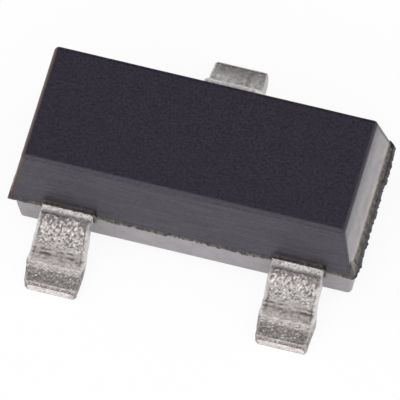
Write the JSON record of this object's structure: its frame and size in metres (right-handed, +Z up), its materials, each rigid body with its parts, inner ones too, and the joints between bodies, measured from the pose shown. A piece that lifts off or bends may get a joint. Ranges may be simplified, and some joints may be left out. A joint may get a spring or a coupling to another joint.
{
  "type": "schottky diode",
  "caption": "Small surface-mount Schottky diode: a drafted black resin body with thin mould flash, gull-wing leads on both long sides, and the chip, pad and bond wire inside.",
  "frame": {"origin": "on the board under the middle of the part, halfway between the tips of the leads", "axes": "+X along the body's length, +Y towards the side with the single lead, +Z up from the board"},
  "size_m": [0.0028, 0.0024, 0.001],
  "materials": {
    "mould_resin": "matte moulded epoxy resin, lightly mottled",
    "tinned_lead": "matte tin plating on copper alloy strip",
    "die_solder": "dull solder",
    "silicon": "dark grey silicon, sawn sides",
    "contact_metal": "thin bright metal film",
    "bond_gold": "drawn gold wire"
  },
  "bodies": {
    "root": {"body": "mould_resin", "anode_lead": "tinned_lead", "unconnected_lead": "tinned_lead", "cathode_lead": "tinned_lead", "die_attach": "die_solder", "silicon_die": "silicon", "anode_contact": "contact_metal", "bond_wire": "bond_gold"}
  },
  "joints": []
}
